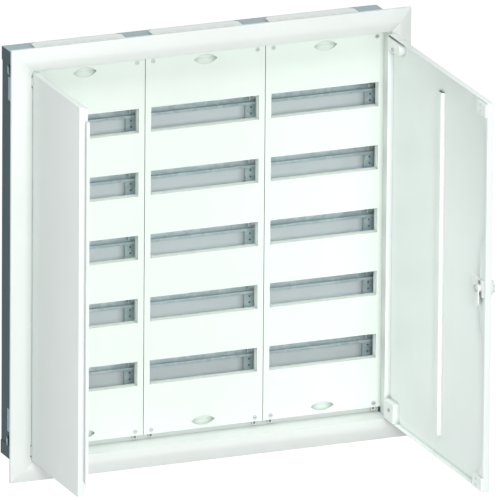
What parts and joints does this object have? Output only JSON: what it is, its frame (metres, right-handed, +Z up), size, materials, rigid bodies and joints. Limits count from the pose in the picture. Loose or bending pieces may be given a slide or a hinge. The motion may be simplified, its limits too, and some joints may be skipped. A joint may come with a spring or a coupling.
{
  "type": "distribution cabinet",
  "caption": "Flush-mounted switchboard cabinet with slotted covers, rows of mounting rail, a mitred trim frame and two unequal doors.",
  "frame": {"origin": "centre of the box's back face, which stands against the wall of the niche", "axes": "+Z up, -Y out of the wall towards the user, +X to the user's right when facing the cabinet"},
  "size_m": [0.81, 0.605, 0.852],
  "materials": {
    "box_sheet": "satin",
    "galvanised_steel": "satin",
    "screw_steel": "satin",
    "frame_paint": "satin",
    "door_paint": "satin",
    "cover_plastic": "matte",
    "fitting_plastic": "matte"
  },
  "bodies": {
    "cabinet": {"box_shell": "box_sheet", "box_top_panel": "box_sheet", "box_bottom_panel": "box_sheet", "wall_anchors": "galvanised_steel", "side_entry_covers": "galvanised_steel", "top_entry_plate_1": "fitting_plastic", "top_entry_plate_2": "fitting_plastic", "top_entry_plate_3": "fitting_plastic", "bottom_entry_plate_1": "fitting_plastic", "bottom_entry_plate_2": "fitting_plastic", "bottom_entry_plate_3": "fitting_plastic", "upright_1": "galvanised_steel", "upright_2": "galvanised_steel", "upright_3": "galvanised_steel", "upright_4": "galvanised_steel", "mounting_rail_1": "galvanised_steel", "mounting_rail_2": "galvanised_steel", "mounting_rail_3": "galvanised_steel", "mounting_rail_4": "galvanised_steel", "mounting_rail_5": "galvanised_steel", "upright_screws": "screw_steel", "rail_brackets": "galvanised_steel", "rail_screws": "screw_steel", "frame_top": "frame_paint", "frame_bottom": "frame_paint", "frame_left": "frame_paint", "frame_right": "frame_paint", "frame_brackets": "galvanised_steel", "frame_screws": "screw_steel", "cover_1": "cover_plastic", "cover_2": "cover_plastic", "cover_3": "cover_plastic", "cover_fasteners": "screw_steel", "cover_clips": "screw_steel", "hinge_brackets": "screw_steel", "hinge_pins": "screw_steel"},
    "left_door": {"left_door_panel": "door_paint", "left_door_meeting_rail": "door_paint", "left_door_upper_hinge": "fitting_plastic", "left_door_lower_hinge": "fitting_plastic", "left_door_hinge_screws": "screw_steel", "left_door_upper_guide": "fitting_plastic", "left_door_lower_guide": "fitting_plastic"},
    "right_door": {"right_door_panel": "door_paint", "right_door_stiffener": "door_paint", "right_door_upper_hinge": "fitting_plastic", "right_door_lower_hinge": "fitting_plastic", "right_door_hinge_screws": "screw_steel", "right_door_upper_guide": "fitting_plastic", "right_door_lower_guide": "fitting_plastic", "lock_plate": "fitting_plastic", "lock_plate_screws": "screw_steel", "lock_rosette": "fitting_plastic"},
    "lock": {"lock_knob": "fitting_plastic", "lock_spindle": "screw_steel", "lock_cam": "fitting_plastic", "lock_cam_nut": "screw_steel"}
  },
  "joints": [
    {"name": "left_door_hinge", "type": "hinge", "parent": "cabinet", "child": "left_door", "pos_m": [-0.3645, -0.1195, 0], "axis": [0, 0, -1], "range_deg": [-90, 15]},
    {"name": "right_door_hinge", "type": "hinge", "parent": "cabinet", "child": "right_door", "pos_m": [0.3645, -0.1195, 0], "axis": [0, 0, 1], "range_deg": [-90, 15]},
    {"name": "lock_turn", "type": "hinge", "parent": "right_door", "child": "lock", "pos_m": [0.3645, -0.583, 0.016], "axis": [-1, 0, 0], "range_deg": [0, 90]}
  ]
}
